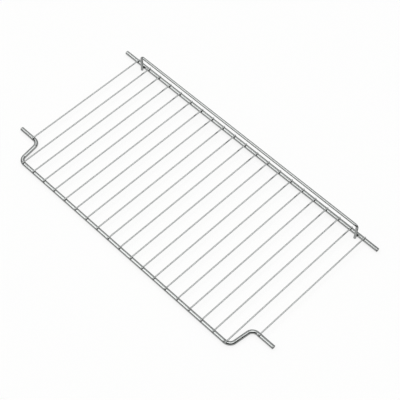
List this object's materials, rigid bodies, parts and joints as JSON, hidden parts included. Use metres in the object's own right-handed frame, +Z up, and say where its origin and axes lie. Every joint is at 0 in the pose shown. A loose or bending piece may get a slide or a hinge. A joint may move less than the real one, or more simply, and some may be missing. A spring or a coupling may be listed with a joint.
{
  "type": "wire refrigerator shelf",
  "caption": "Flat shelf of thin cross wires welded on two thick wires, with four round end pins, a front stepped back at both ends and a raised rail along the back.",
  "frame": {"origin": "under the middle of the shelf, level with the feet of the rail's legs, its lowest points", "axes": "+X to the right along the front and rear wires, +Y from the front to the back, +Z up"},
  "size_m": [0.493, 0.2513, 0.0307],
  "materials": {
    "bright_plated_wire": "drawn steel wire, bright nickel and chrome plated after welding"
  },
  "bodies": {
    "root": {"front_wire": "bright_plated_wire", "rear_wire": "bright_plated_wire", "back_rail": "bright_plated_wire", "cross_wire_01": "bright_plated_wire", "cross_wire_02": "bright_plated_wire", "cross_wire_03": "bright_plated_wire", "cross_wire_04": "bright_plated_wire", "cross_wire_05": "bright_plated_wire", "cross_wire_06": "bright_plated_wire", "cross_wire_07": "bright_plated_wire", "cross_wire_08": "bright_plated_wire", "cross_wire_09": "bright_plated_wire", "cross_wire_10": "bright_plated_wire", "cross_wire_11": "bright_plated_wire", "cross_wire_12": "bright_plated_wire", "cross_wire_13": "bright_plated_wire", "cross_wire_14": "bright_plated_wire", "cross_wire_15": "bright_plated_wire", "cross_wire_16": "bright_plated_wire", "cross_wire_17": "bright_plated_wire", "cross_wire_18": "bright_plated_wire", "cross_wire_19": "bright_plated_wire", "cross_wire_20": "bright_plated_wire", "cross_wire_21": "bright_plated_wire"}
  },
  "joints": []
}
